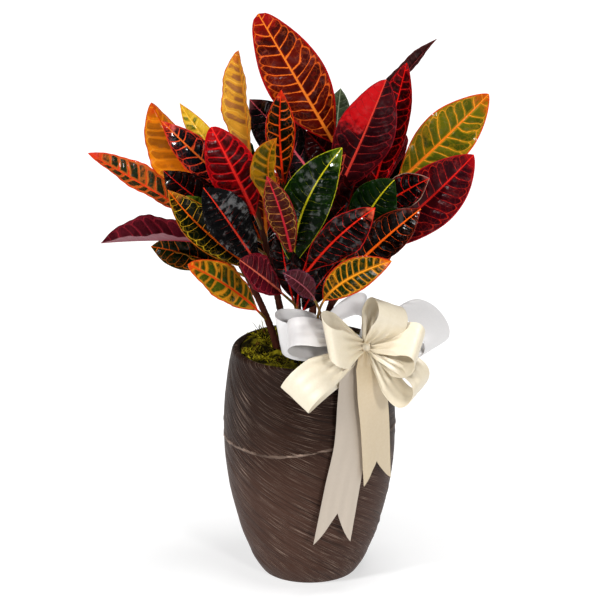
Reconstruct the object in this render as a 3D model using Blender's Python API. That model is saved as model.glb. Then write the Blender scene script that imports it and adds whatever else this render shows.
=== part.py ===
"""A croton in a combed brown planter, with a white and cream ribbon bow on its rim.

Sizes are in millimetres and MM turns them into metres. +Z is up, the front is -Y, and the
origin is the middle of the planter's foot, on the surface that it stands on.
"""

import math
from collections import namedtuple

import bmesh
import bpy
from mathutils import Matrix, Vector

MM = 0.001
GAP = 0.3

# The planter's outside, as (height, radius) from the foot to the rim.
POT_OUTSIDE = [
    (0.0, 50.0),
    (1.5, 54.5),
    (11.0, 61.5),
    (21.0, 67.3),
    (31.0, 71.0),
    (50.0, 78.8),
    (70.0, 84.5),
    (90.0, 89.7),
    (109.0, 93.7),
    (129.0, 96.6),
    (148.0, 98.6),
    (168.0, 99.3),
    (188.0, 99.5),
    (207.0, 98.6),
    (227.0, 96.6),
    (247.0, 94.0),
    (266.0, 90.5),
]
POT_RIM = [(271.0, 89.0), (273.0, 86.5), (273.0, 83.0), (271.0, 80.6)]
POT_WALL = 8.0
POT_FLOOR = 12.0
POT_SIDES = 48
COMB_DEPTH = 0.7

SOIL_TOP = 261.0
MOSS_TOP = 271.5
MOSS_SIDES = 36

# Stems: a foot in the soil, an elbow and a growing tip. They are thickest at the foot.
STEM_FOOT_RADIUS = 4.8
STEM_TIP_RADIUS = 2.6
STEM_SIDES = 7
STEMS = {
    "left": ((-30, -12, 240), (-42, -16, 330), (-122, 0, 440)),
    "left_centre": ((-20, 8, 240), (-38, 6, 350), (-72, 10, 480)),
    "centre": ((-12, -14, 240), (-10, -26, 370), (-34, -6, 490)),
    "back": ((0, 14, 240), (4, 26, 380), (34, 20, 510)),
    "right": ((10, -6, 240), (14, -14, 350), (96, 5, 470)),
}

# A leaf starts inside its stem, at the share `at` of the stem's length, heads for `elbow` and
# ends at `tip`. `half` is half of its greatest width, `face` the way its upper side looks,
# `fold` how far each half stands up from the midrib, in degrees, and `petiole` the stalk's
# share of the length.
Leaf = namedtuple("Leaf", "stem at elbow tip half face fold petiole")
LEAVES = [
    Leaf("left", 0.36, (-82, -62, 365), (-137, -80, 397), 22, (0, -0.75, 0.65), 10, 0.16),
    Leaf("left", 0.80, (-166, -15, 413), (-237, -30, 407), 22, (0, -0.5, 0.9), 32, 0.12),
    Leaf("left", 0.62, (-137, 22, 380), (-183, 30, 384), 19, (0, -0.9, 0.2), 10, 0.20),
    Leaf("left", 0.88, (-175, -20, 465), (-250, -30, 513), 21, (0, -0.6, 0.8), 30, 0.12),
    Leaf("left", 0.97, (-144, 22, 482), (-181, 40, 553), 32, (-0.65, -1, 0.1), 28, 0.10),
    Leaf("left_centre", 0.84, (-115, -5, 489), (-168, -5, 544), 20, (0, -1, 0.3), 8, 0.10),
    Leaf("left_centre", 0.66, (-124, -42, 456), (-165, -35, 494), 23, (0, -1, 0.4), 12, 0.14),
    Leaf("left_centre", 0.47, (-118, -72, 423), (-159, -72, 482), 22, (0.3, -1, 0.2), 22, 0.16),
    Leaf("left_centre", 0.60, (-99, -58, 437), (-139, -58, 471), 11, (0, -1, 0.4), 10, 0.50),
    Leaf("left_centre", 0.72, (-79, -45, 484), (-111, -35, 545), 28, (0, -1, 0.2), 8, 0.16),
    Leaf("left_centre", 0.40, (-89, -88, 450), (-119, -80, 487), 27, (0, -1, 0.2), 14, 0.20),
    Leaf("left_centre", 0.88, (-72, 22, 548), (-81, 30, 617), 27, (-1, -1, 0.1), 36, 0.10),
    Leaf("left_centre", 0.95, (-115, 55, 491), (-150, 90, 539), 13, (0, -1, 0.2), 12, 0.10),
    Leaf("centre", 0.34, (-50, -95, 386), (-78, -115, 413), 24, (0.1, -0.8, 0.6), 8, 0.22),
    Leaf("centre", 0.50, (-26, -80, 450), (-48, -82, 501), 17, (-0.1, -1, 0.2), 16, 0.16),
    Leaf("centre", 0.44, (-31, -85, 454), (36, -68, 530), 29, (0.1, -1, 0.2), 10, 0.14),
    Leaf("centre", 0.84, (-38, -8, 528), (-32, -12, 582), 19, (0.1, -1, 0.2), 26, 0.10),
    Leaf("centre", 0.70, (-63, -45, 495), (-37, -38, 533), 20, (-0.6, -1, 0.2), 34, 0.14),
    Leaf("centre", 0.22, (-24, -48, 391), (40, -48, 457), 20, (0, -1, 0.4), 20, 0.20),
    Leaf("centre", 0.44, (22, -108, 437), (73, -95, 468), 21, (0.3, -0.9, 0.1), 26, 0.16),
    Leaf("back", 0.97, (-6, 10, 573), (-58, 0, 667), 36, (0.05, -1, 0.1), 10, 0.06),
    Leaf("back", 0.66, (48, -5, 503), (85, -12, 594), 37, (0.1, -1, 0.2), 12, 0.20),
    Leaf("back", 0.85, (94, 50, 572), (145, 60, 623), 17, (-0.5, -0.8, 0.6), 44, 0.10),
    Leaf("back", 0.90, (19, 30, 499), (-4, 34, 521), 19, (0, -1, 0.3), 10, 0.10),
    Leaf("back", 0.92, (31, 80, 521), (36, 100, 554), 15, (0, -1, 0.2), 10, 0.10),
    Leaf("back", 0.86, (56, 75, 517), (69, 80, 557), 15, (0, -1, 0.2), 10, 0.10),
    Leaf("back", 0.76, (-28, 50, 511), (-69, 62, 551), 26, (0.1, -1, 0.2), 10, 0.10),
    Leaf("back", 0.60, (34, -28, 490), (40, -32, 512), 13, (-1, -0.3, 0.1), 20, 0.20),
    Leaf("right", 0.74, (91, 22, 521), (110, 20, 605), 23, (-0.2, -1, 0.1), 24, 0.12),
    Leaf("right", 0.56, (131, -22, 446), (185, -30, 511), 34, (0, -1, 0.3), 12, 0.14),
    Leaf("right", 0.50, (78, -66, 421), (125, -62, 457), 23, (0, -1, 0.4), 16, 0.16),
    Leaf("right", 0.86, (102, -28, 466), (135, -42, 487), 20, (0, -1, 0.4), 16, 0.14),
    Leaf("right", 0.95, (143, 25, 501), (204, 30, 566), 31, (0, -1, 0.2), 8, 0.10),
    Leaf("right", 0.66, (63, -56, 457), (95, -56, 489), 26, (0, -1, 0.3), 10, 0.14),
    Leaf("right", 0.46, (47, -82, 383), (94, -82, 401), 23, (0, -0.8, 0.7), 18, 0.18),
    Leaf("right", 0.22, (2, -92, 372), (-30, -108, 396), 12, (0.2, -0.9, 0.4), 40, 0.25),
]

# The leaves behind these arch away from the plant's middle, so a compass bearing (90 is
# straight back), a reach and a rise place each of them.
Spray = namedtuple("Spray", "stem at bearing reach rise half")
SPRAYS = [
    Spray("left", 0.50, 160, 105, 45, 20),
    Spray("left", 0.72, 130, 100, 75, 21),
    Spray("left", 0.86, 100, 95, 60, 21),
    Spray("left_centre", 0.40, 110, 120, 70, 22),
    Spray("left_centre", 0.62, 95, 120, 70, 22),
    Spray("left_centre", 0.78, 120, 90, 80, 21),
    Spray("left_centre", 0.97, 130, 75, 30, 18),
    Spray("centre", 0.95, 80, 55, 75, 18),
    Spray("back", 0.30, 70, 120, 40, 22),
    Spray("back", 0.44, 100, 125, 75, 23),
    Spray("back", 0.56, 60, 120, 80, 23),
    Spray("back", 0.70, 85, 105, 75, 22),
    Spray("back", 0.80, 45, 95, 70, 20),
    Spray("right", 0.36, 50, 115, 40, 21),
    Spray("right", 0.52, 35, 100, 55, 21),
    Spray("right", 0.62, 65, 115, 70, 22),
    Spray("right", 0.78, 40, 100, 70, 21),
    Spray("right", 0.90, 75, 90, 60, 20),
]

LEAF_STEPS = 10
BLADE_THICK = 1.0
STALK_THICK = 3.0
STALK_HALF = 1.6
MARGIN_WAVE = 2.4
WAVES = 3.5

# The bow: two gathered ribbons, white behind cream, whose middles sit side by side.
RIBBON_WIDTH = 44.0
RIBBON_THICK = 0.9
GATHER = 0.2
CORE_RADIUS = 6.35
WHITE_MIDDLE = Vector((59, -60, 299))
CREAM_MIDDLE = Vector((64, -72, 297))
LOOP_STEPS = 14

# A loop runs from the middle out to `far` and back. `belly` is how far its two runs bow
# apart, `lean` how far both of them bow the same way, and `across` points across the ribbon.
Loop = namedtuple("Loop", "far belly lean across")
WHITE_LOOPS = [
    Loop((-36, -62, 310), (0, 14, 4), (0, 0, 0), (-8, 0, 44)),
    Loop((-25, -94, 316), (0, -11, 11), (0, 0, 0), (0, 38, 21)),
    Loop((34, -48, 330), (20, 6, 13), (0, 0, 0), (6, 40, 14)),
    Loop((144, -34, 302), (-10, 8, 23), (-6, 0, 6), (30, 32, 8)),
    Loop((107, -46, 262), (7, 2, 7), (3, 0, 6), (-8, 30, 10)),
]
CREAM_LOOPS = [
    Loop((18, -118, 323), (4, -13, -6), (0, 0, 0), (-8, 6, 44)),
    Loop((92, -86, 349), (11, 2, -9), (0, 0, 0), (10, 38, 14)),
    Loop((124, -104, 302), (2, -4, 14), (0, 0, 0), (12, 28, 30)),
    Loop((120, -106, 250), (11, -2, 11), (4, 0, 2), (19, 30, 12)),
    Loop((-17, -128, 252), (-1, -8, 5), (0, 0, 6), (31, 0, -31)),
]

# The tails follow the planter's round side: (bearing from the front, radius, height).
LONG_TAIL = [(37, 99, 294), (31, 105, 278), (29, 105, 240), (27, 105, 190), (22, 104, 140), (15, 103, 80)]
SHORT_TAIL = [(43, 101, 293), (42, 109, 276), (42, 110, 240), (43, 109, 200), (45, 108, 150)]
TAIL_STEPS = 12
TAIL_NOTCH = 0.09

PICK_RADIUS = 1.5
PICK_FOOT = Vector((50, -46, 200))
PICK_TOP = Vector((56.5, -55, 300))


def clear_scene():
    """Remove whatever the file starts with."""
    for thing in list(bpy.data.objects):
        bpy.data.objects.remove(thing, do_unlink=True)


def material(name, colour, roughness):
    """A plain Principled material."""
    made = bpy.data.materials.new(name)
    made.use_nodes = True
    shader = made.node_tree.nodes["Principled BSDF"]
    shader.inputs["Base Color"].default_value = (*colour, 1)
    shader.inputs["Roughness"].default_value = roughness
    shader.inputs["Metallic"].default_value = 0
    return made


def finish(bm, name, look):
    """Turn a bmesh in millimetres into a smooth-shaded object in metres."""
    bmesh.ops.scale(bm, vec=(MM, MM, MM), verts=bm.verts)
    bmesh.ops.recalc_face_normals(bm, faces=bm.faces)
    mesh = bpy.data.meshes.new(name)
    bm.to_mesh(mesh)
    bm.free()
    mesh.materials.append(look)
    mesh.shade_smooth()
    mesh.set_sharp_from_angle(angle=math.radians(40))
    thing = bpy.data.objects.new(name, mesh)
    bpy.context.collection.objects.link(thing)
    return thing


def merge(body, others, operation):
    """Apply one Boolean between a body and a collection of others, which is then removed."""
    group = bpy.data.collections.new("others")
    bpy.context.scene.collection.children.link(group)
    for other in others:
        bpy.context.collection.objects.unlink(other)
        group.objects.link(other)
    cut = body.modifiers.new("merge", "BOOLEAN")
    cut.operation = operation
    cut.operand_type = "COLLECTION"
    cut.collection = group
    cut.solver = "EXACT"
    graph = bpy.context.evaluated_depsgraph_get()
    merged = bpy.data.meshes.new_from_object(body.evaluated_get(graph))
    body.modifiers.remove(cut)
    body.data = merged
    for other in others:
        bpy.data.objects.remove(other, do_unlink=True)
    bpy.data.collections.remove(group)


def lathe(profile, sides):
    """A solid turned round Z from an open (radius, height) profile that ends on the axis."""
    bm = bmesh.new()
    dots = [bm.verts.new((radius, 0, height)) for radius, height in profile]
    for one, two in zip(dots, dots[1:]):
        bm.edges.new((one, two))
    bmesh.ops.spin(
        bm,
        geom=bm.verts[:] + bm.edges[:],
        cent=(0, 0, 0),
        axis=(0, 0, 1),
        angle=math.tau,
        steps=sides,
    )
    bmesh.ops.remove_doubles(bm, verts=bm.verts, dist=0.001)
    return bm


def along(points, share):
    """The place and direction at a share of the curve through foot, elbow and tip."""
    foot, elbow, tip = (Vector(point) for point in points)
    first = foot.lerp(elbow, share)
    second = elbow.lerp(tip, share)
    return first.lerp(second, share), (second - first).normalized()


def through(points, share):
    """A place on the smooth curve that passes through every point of a list."""
    last = len(points) - 1
    step = min(int(share * last), last - 1)
    part = share * last - step
    near = [Vector(points[min(max(step + k, 0), last)]) for k in (-1, 0, 1, 2)]
    pull_in = (near[2] - near[0]) / 2
    pull_out = (near[3] - near[1]) / 2
    rest = near[2] - near[1]
    cubic = pull_in + pull_out - 2 * rest
    square = 3 * rest - 2 * pull_in - pull_out
    return near[1] + part * (pull_in + part * (square + part * cubic))


def tube(points, steps, sides, foot_radius, tip_radius, more=0.0):
    """A closed round bar along a curve; `more` makes it longer at both ends."""
    bm = bmesh.new()
    rings = []
    for step in range(steps + 1):
        place, heading = along(points, step / steps)
        if step in (0, steps):
            place = place + heading * (more if step else -more)
        radius = foot_radius + (tip_radius - foot_radius) * step / steps
        turn = Vector((0, 0, 1)).rotation_difference(heading).to_matrix().to_4x4()
        ring = bmesh.ops.create_circle(
            bm, cap_ends=False, segments=sides, radius=radius, matrix=Matrix.Translation(place) @ turn
        )
        rings.append(ring["verts"])
    for low, high in zip(rings, rings[1:]):
        for k in range(sides):
            bm.faces.new((low[k], low[k - 1], high[k - 1], high[k]))
    bm.faces.new(rings[0])
    bm.faces.new(rings[-1])
    return bm


def thicken(bm, depth_at):
    """Give a sheet thickness: each point's copy is moved by depth_at(row, column)."""
    rows = bm.verts.layers.int["row"]
    columns = bm.verts.layers.int["column"]
    grown = bmesh.ops.extrude_face_region(bm, geom=bm.faces[:])
    for vert in grown["geom"]:
        if isinstance(vert, bmesh.types.BMVert):
            vert.co += depth_at(vert[rows], vert[columns])


def sheet(place_at, rows, columns):
    """A grid of rows by columns, split into triangles, with place_at(row, column) for its points."""
    bm = bmesh.new()
    bmesh.ops.create_grid(bm, x_segments=columns, y_segments=rows, size=1)
    row_of = bm.verts.layers.int.new("row")
    column_of = bm.verts.layers.int.new("column")
    for vert in bm.verts:
        vert[row_of] = round((vert.co.y + 1) / 2 * rows)
        vert[column_of] = round((vert.co.x + 1) / 2 * columns)
    for vert in bm.verts:
        vert.co = place_at(vert[row_of], vert[column_of])
    bmesh.ops.triangulate(bm, faces=bm.faces[:], quad_method="FIXED")
    return bm


def leaf_of(spray):
    """The leaf that a bearing, a reach and a rise stand for."""
    root, _ = along(STEMS[spray.stem], spray.at)
    bearing = math.radians(spray.bearing)
    out = Vector((math.cos(bearing), math.sin(bearing), 0))
    elbow = root + out * spray.reach * 0.45 + Vector((0, 0, spray.rise * 0.95))
    tip = root + out * spray.reach + Vector((0, 0, spray.rise))
    face = out * -0.55 + Vector((0, 0, 0.85))
    return Leaf(spray.stem, spray.at, elbow, tip, spray.half, face, 14, 0.14)


def blade_half(leaf, share):
    """Half of the leaf's width at a share of its length: a stalk, then a pointed oval."""
    stalk = STALK_HALF * (1 - share) + 0.3
    blade = (share - leaf.petiole) / (1 - leaf.petiole)
    if not 0 < blade < 1:
        return stalk
    return max(stalk, leaf.half * math.sin(math.pi * blade**1.15) ** 0.8)


def leaf_frame(leaf, share):
    """Place, sideways and upward directions on the leaf's midrib."""
    root, _ = along(STEMS[leaf.stem], leaf.at)
    place, heading = along((root, leaf.elbow, leaf.tip), share)
    up = Vector(leaf.face)
    up = (up - up.dot(heading) * heading).normalized()
    return place, heading.cross(up), up


def leaf_solid(leaf):
    """One leaf with its stalk: folded along the midrib, waved at the margins."""

    def point(row, column):
        share = row / LEAF_STEPS
        side = column - 1
        place, across, up = leaf_frame(leaf, share)
        half = blade_half(leaf, share)
        fold = math.radians(leaf.fold)
        wave = math.sin(math.tau * WAVES * share + (0 if side > 0 else 2))
        lift = abs(side) * (half * math.sin(fold) + MARGIN_WAVE * wave * half / leaf.half)
        return place + across * side * half * math.cos(fold) + up * lift

    def depth(row, column):
        share = row / LEAF_STEPS
        _, _, up = leaf_frame(leaf, share)
        stalk = share <= leaf.petiole
        return up * -(STALK_THICK if stalk else BLADE_THICK)

    bm = sheet(point, LEAF_STEPS, 2)
    thicken(bm, depth)
    return bm


def ribbon_solid(place_at, rows, columns=1):
    """A strip of ribbon; place_at(share, side) gives its points, with side from -1 to 1."""

    def point(row, column):
        return place_at(row / rows, 2 * column / columns - 1)

    def depth(row, column):
        share = row / rows
        step = 0.5 / rows
        ahead = place_at(min(share + step, 1), 0) - place_at(max(share - step, 0), 0)
        across = place_at(share, 1) - place_at(share, -1)
        return ahead.cross(across).normalized() * RIBBON_THICK

    bm = sheet(point, rows, columns)
    thicken(bm, depth)
    return bm


def loop_solid(loop, middle):
    """A ribbon loop that leaves the bow's middle, swells and comes back to it."""
    reach = Vector(loop.far) - middle
    belly = Vector(loop.belly)
    lean = Vector(loop.lean)
    across = Vector(loop.across)

    def place(share, side):
        turn = math.pi * (0.02 + 0.96 * share)
        out = math.sin(turn) ** 1.2
        apart = 1.3 * math.sin(2 * turn) * math.sin(turn) ** 0.7
        width = GATHER + (1 - GATHER) * min(1, 1.3 * math.sin(turn) ** 1.1)
        spot = middle + reach * out + belly * apart + lean * math.sin(2 * turn) ** 2
        return spot + across * side * width / 2

    return ribbon_solid(place, LOOP_STEPS)


def tail_solid(stations):
    """A ribbon tail that hangs down the planter's side and ends in a swallow tail."""
    places = []
    for bearing, radius, height in stations:
        angle = math.radians(bearing)
        places.append((radius * math.sin(angle), -radius * math.cos(angle), height))
    places.insert(0, CREAM_MIDDLE)

    def place(share, side):
        spot = through(places, share * (1 - TAIL_NOTCH * (1 - abs(side)) * share**8))
        outward = Vector((spot.x, spot.y, 0)).normalized()
        across = Vector((-outward.y, outward.x, 0))
        width = RIBBON_WIDTH * (GATHER + (1 - GATHER) * min(1, share * 2.6))
        return spot + across * side * width / 2

    return ribbon_solid(place, TAIL_STEPS, 2)


def make_pot(look):
    """The planter: a barrel wall on a flat foot, with shallow combed waves, and a round lip."""
    outside = [(radius, height) for height, radius in POT_OUTSIDE + POT_RIM]
    inside = [
        (radius - POT_WALL, height) for height, radius in POT_OUTSIDE[:3:-2]
    ]
    profile = [(0, 0)] + outside + inside + [(inside[-1][0] - 8, POT_FLOOR), (0, POT_FLOOR)]
    bm = lathe(profile, POT_SIDES)
    for vert in bm.verts:
        radius = math.hypot(vert.co.x, vert.co.y)
        height = vert.co.z
        wall = next((r for h, r in POT_OUTSIDE if abs(h - height) < 0.01), None)
        if wall is None or abs(radius - wall) > 0.01 or not 15 < height < 260:
            continue
        angle = math.atan2(vert.co.x, -vert.co.y)
        comb = math.sin(height / 7.0 + 3.0 * math.sin(angle * 1.5) + height * height / 9000)
        swell = 1 + COMB_DEPTH * comb / radius
        vert.co.x *= swell
        vert.co.y *= swell
    return finish(bm, "planter", look)


def make_soil(look):
    """The root ball, which fills the planter up to under the moss."""
    side = [(radius - POT_WALL - GAP, height) for height, radius in POT_OUTSIDE[4:-1:2]]
    last = 90.5 - POT_WALL - GAP
    profile = [(0, POT_FLOOR + GAP), (side[0][0] - 9, POT_FLOOR + GAP)] + side + [(last, SOIL_TOP), (0, SOIL_TOP)]
    return finish(lathe(profile, POT_SIDES), "root_ball", look)


def make_moss(look):
    """The moss mat on the soil, mounded at the back left."""
    low = SOIL_TOP + GAP
    rings = [(79.0, low), (79.6, 266.0), (77.5, 270.0)] + [(r, MOSS_TOP) for r in (71, 60, 48, 36, 24, 12, 0)]
    bm = lathe([(0, low)] + rings, MOSS_SIDES)
    for vert in bm.verts:
        if vert.co.z < MOSS_TOP - 3:
            continue
        x, y, _ = vert.co
        mound = 8 * math.exp(-((x + 42) ** 2 + (y - 34) ** 2) / 2200)
        tufts = 1.6 * math.sin(x / 6.1 + 1) * math.cos(y / 5.3) + 0.9 * math.sin(x / 3.7 + y / 4.9)
        inside = min(1, (80 - math.hypot(x, y)) / 10)
        vert.co.z += (mound + tufts) * inside
    return finish(bm, "moss", look)


def make_leafy_stem(name, look):
    """One stem with all its leaves, fused at the stalks."""
    bar = tube(STEMS[name], 8, STEM_SIDES, STEM_FOOT_RADIUS, STEM_TIP_RADIUS)
    body = finish(bar, f"leafy_stem_{name}", look)
    grown = LEAVES + [leaf_of(spray) for spray in SPRAYS]
    leaves = [finish(leaf_solid(leaf), "leaf", look) for leaf in grown if leaf.stem == name]
    merge(body, leaves, "UNION")
    return body


def make_core(name, middle, look):
    """The gathered middle of a ribbon."""
    bm = bmesh.new()
    bmesh.ops.create_icosphere(bm, subdivisions=2, radius=CORE_RADIUS, matrix=Matrix.Translation(middle))
    return finish(bm, name, look)


def make_bow(name, middle, loops, tails, look):
    """One gathered ribbon: its loops and tails, fused at the middle."""
    body = make_core(name, middle, look)
    strips = [finish(loop_solid(loop, middle), "loop", look) for loop in loops]
    strips += [finish(tail_solid(tail), "tail", look) for tail in tails]
    merge(body, strips, "UNION")
    return body


def holes(with_pick):
    """Cutters for the plain holes that the stems and the pick stand in."""
    cutters = [
        tube(points, 8, STEM_SIDES, STEM_FOOT_RADIUS + 2 * GAP, STEM_TIP_RADIUS + 2 * GAP, GAP)
        for points in STEMS.values()
    ]
    if with_pick:
        cutters.append(pick_bar(GAP))
    return [finish(bm, "cutter", bpy.data.materials["wood"]) for bm in cutters]


def pick_bar(more):
    """The round pick, or with `more` the hole round it."""
    points = (PICK_FOOT, (PICK_FOOT + PICK_TOP) / 2, PICK_TOP)
    radius = PICK_RADIUS + 1.5 * more
    return tube(points, 1, 10, radius, radius, more)


def build():
    clear_scene()
    clay = material("brown composite", (0.045, 0.028, 0.021), 0.7)
    soil = material("soil", (0.035, 0.022, 0.015), 0.95)
    moss = material("moss", (0.12, 0.15, 0.02), 0.95)
    foliage = material("foliage", (0.28, 0.05, 0.02), 0.35)
    white = material("white satin", (0.84, 0.83, 0.82), 0.35)
    cream = material("cream satin", (0.86, 0.76, 0.55), 0.35)
    wood = material("wood", (0.45, 0.32, 0.18), 0.7)

    make_pot(clay)
    root_ball = make_soil(soil)
    mat = make_moss(moss)
    merge(root_ball, holes(True), "DIFFERENCE")
    merge(mat, holes(True), "DIFFERENCE")
    for name in STEMS:
        make_leafy_stem(name, foliage)
    finish(pick_bar(0), "bow_pick", wood)
    behind = make_bow("bow_white", WHITE_MIDDLE, WHITE_LOOPS, [], white)
    merge(behind, [finish(pick_bar(GAP), "cutter", wood)], "DIFFERENCE")
    make_bow("bow_cream", CREAM_MIDDLE, CREAM_LOOPS, [LONG_TAIL, SHORT_TAIL], cream)


build()
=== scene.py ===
# %% [markdown]
# # A potted croton with a ribbon bow
#
# This lesson dresses a plain solid model of a potted plant. The solids give every size. Each
# cell makes one kind of piece, leaf, bark, moss, planter or ribbon, and hides the solid that
# the piece stands for. Lengths in the code are millimetres, as a gardener would measure them,
# and `MM` turns them into Blender's metres. +Z is up and the front looks towards -Y.

# %% Load the frame
import random
from collections import namedtuple
from math import atan2, copysign, cos, exp, hypot, pi, radians, sin, sqrt, tau

import bmesh
import bpy
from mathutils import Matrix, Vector, noise


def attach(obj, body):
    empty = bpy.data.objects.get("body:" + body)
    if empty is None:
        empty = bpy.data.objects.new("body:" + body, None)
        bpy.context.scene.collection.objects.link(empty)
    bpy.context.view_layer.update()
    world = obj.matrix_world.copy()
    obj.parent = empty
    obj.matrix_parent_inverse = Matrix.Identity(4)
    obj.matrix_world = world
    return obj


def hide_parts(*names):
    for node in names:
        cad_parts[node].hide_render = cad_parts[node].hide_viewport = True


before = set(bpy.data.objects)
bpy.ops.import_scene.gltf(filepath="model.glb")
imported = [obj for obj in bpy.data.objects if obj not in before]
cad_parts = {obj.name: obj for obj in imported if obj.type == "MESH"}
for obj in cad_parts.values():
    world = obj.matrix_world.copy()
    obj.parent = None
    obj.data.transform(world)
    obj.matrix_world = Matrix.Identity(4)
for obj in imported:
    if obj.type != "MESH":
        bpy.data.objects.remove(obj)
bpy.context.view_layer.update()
MM = 0.001
print("solids:", ", ".join(sorted(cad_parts)))

# %% [markdown]
# ## The camera
#
# The picture was taken from far away with a long lens, a little above the rim, so the mouth of
# the planter shows as a flat ellipse and nothing leans. A lens this long keeps the foot and the
# crown at one scale.

# %% Camera
CAMERA_DISTANCE = 4.5
CAMERA_RISE = radians(18)
CAMERA_LENS = 234.8
LOOK_AT = Vector((-0.011, 0, 0.329))

camera_data = bpy.data.cameras.new("camera")
camera_data.sensor_width = 36
camera_data.lens = CAMERA_LENS
camera = bpy.data.objects.new("camera", camera_data)
towards_camera = Vector((0, -cos(CAMERA_RISE), sin(CAMERA_RISE)))
camera.location = LOOK_AT + CAMERA_DISTANCE * towards_camera
camera.rotation_euler = (pi / 2 - CAMERA_RISE, 0, 0)
bpy.context.collection.objects.link(camera)
bpy.context.scene.camera = camera
print("camera at", [round(x, 3) for x in camera.location])

# %% [markdown]
# ## Light
#
# Waxy leaves and satin live from what they reflect. Area lamps would do as well, but a sun
# lights crown and foot alike. Three soft suns do the work: one from the upper left in front, a
# wide one from above that puts a grey sheen on the dark leaves, and a weak one from the right.
# The room itself stays dim, so that black leaves stay black. The standard view transform keeps
# strong reds and yellows as strong as they are.


# %% Lamps
def sun(name, towards, spread, strength):
    """A soft sun that shines in the direction given; spread is its width in degrees."""
    data = bpy.data.lights.new(name, "SUN")
    data.angle = radians(spread)
    data.energy = strength
    thing = bpy.data.objects.new(name, data)
    thing.rotation_euler = Vector(towards).to_track_quat("-Z", "Y").to_euler()
    bpy.context.collection.objects.link(thing)


sun("key", (0.7, 0.6, -0.6), 9, 2.0)
sun("top", (-0.14, 0.08, -1), 25, 2.1)
sun("fill", (-0.42, 0.85, -0.36), 9, 1.2)

ROOM_LIGHT = 0.1
world = bpy.data.worlds.new("studio")
world.use_nodes = True
background = world.node_tree.nodes["Background"]
background.inputs["Color"].default_value = (1, 1, 1, 1)
background.inputs["Strength"].default_value = ROOM_LIGHT
bpy.context.scene.world = world
bpy.context.scene.view_settings.view_transform = "Standard"
print("lamps:", ", ".join(lamp.name for lamp in bpy.data.lights))

# %% [markdown]
# ## Writing materials as sums
#
# A material is a little network of nodes. Written out node by node it is hard to read, so
# `Wire` wraps one socket and lets Python's own signs add the Math nodes: `1 - mask` or
# `2 * height` then mean what they say. `Finish` is one material: its `node` method adds any
# other node, and a few short methods name the ones that are used most. Colours are written as
# six-digit web codes, which `paint` turns into Blender's numbers.


# %% Wire: a value in a material
class Wire:
    """One output socket, which can be used in sums."""

    def __init__(self, tree, socket):
        self.tree = tree
        self.socket = socket

    def maths(self, operation, *values):
        node = self.tree.nodes.new("ShaderNodeMath")
        node.operation = operation
        for slot, value in zip(node.inputs, values):
            if isinstance(value, Wire):
                self.tree.links.new(value.socket, slot)
            else:
                slot.default_value = value
        return Wire(self.tree, node.outputs[0])

    def __add__(self, other):
        return self.maths("ADD", self, other)

    __radd__ = __add__

    def __sub__(self, other):
        return self.maths("SUBTRACT", self, other)

    def __rsub__(self, other):
        return self.maths("SUBTRACT", other, self)

    def __mul__(self, other):
        return self.maths("MULTIPLY", self, other)

    __rmul__ = __mul__

    def __truediv__(self, other):
        return self.maths("DIVIDE", self, other)

    def __rtruediv__(self, other):
        return self.maths("DIVIDE", other, self)

    def __abs__(self):
        return self.maths("ABSOLUTE", self)

    def sine(self):
        return self.maths("SINE", self)

    def fraction(self):
        return self.maths("FRACT", self)

    def floor(self):
        return self.maths("FLOOR", self)

    def most(self, other):
        return self.maths("MAXIMUM", self, other)


# %% Finish: one material
class Finish:
    """A Principled material that is built up one named step at a time."""

    def __init__(self, name, **sockets):
        self.material = bpy.data.materials.new(name)
        self.material.use_nodes = True
        self.tree = self.material.node_tree
        self.shader = self.tree.nodes["Principled BSDF"]
        for socket, value in sockets.items():
            self.put(self.shader.inputs[socket.replace("_", " ")], value)

    def put(self, slot, value):
        """Set a socket to a number or a web colour, or link it to the node that gives its value."""
        if isinstance(value, Wire):
            self.tree.links.new(value.socket, slot)
        else:
            slot.default_value = paint(value) if isinstance(value, str) else value

    def node(self, kind, settings=None, sockets=None, out=0):
        """Any node: its settings first, then the values or links of its sockets."""
        made = self.tree.nodes.new("ShaderNode" + kind)
        for setting, value in (settings or {}).items():
            setattr(made, setting, value)
        for socket, value in (sockets or {}).items():
            self.put(made.inputs[socket], value)
        return Wire(self.tree, made.outputs[out])

    def step(self, value, low, high):
        """0 below low, 1 above high, and smooth between."""
        sockets = {"Value": value, "From Min": low, "From Max": high}
        return self.node("MapRange", {"interpolation_type": "SMOOTHSTEP"}, sockets)

    def mix(self, factor, first, second):
        """Two colours mixed: 0 gives the first, 1 the second."""
        return self.node("Mix", {"data_type": "RGBA"}, {0: factor, 6: first, 7: second}, out=2)

    def place(self):
        """Where a point lies on the object, in metres."""
        return self.node("TexCoord", out=3)

    def attribute(self, name, out=2):
        """A number that the mesh carries; out=1 reads three of them."""
        return self.node("Attribute", {"attribute_name": name}, out=out)

    def stretched(self, vector, scale):
        """A place whose three numbers are multiplied by scale."""
        return self.node("Mapping", {}, {"Vector": vector, "Scale": scale})

    def noise(self, vector, scale, detail=2.0, roughness=0.5):
        sockets = {"Vector": vector, "Scale": scale, "Detail": detail, "Roughness": roughness}
        return self.node("TexNoise", {}, sockets)

    def split(self, vector):
        """The three numbers of a vector."""
        parts = self.node("SeparateXYZ", {}, {"Vector": vector})
        outputs = parts.socket.node.outputs
        return [Wire(self.tree, outputs[k]) for k in range(3)]

    def bump(self, height, strength, distance):
        """Small relief; distance is its depth in millimetres."""
        sockets = {"Height": height, "Strength": strength, "Distance": distance * MM}
        self.put(self.shader.inputs["Normal"], self.node("Bump", {}, sockets))

    def colour(self, value):
        self.put(self.shader.inputs["Base Color"], value)

    def coat(self, value):
        self.put(self.shader.inputs["Coat Weight"], value)

    def roughness(self, value):
        self.put(self.shader.inputs["Roughness"], value)


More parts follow.
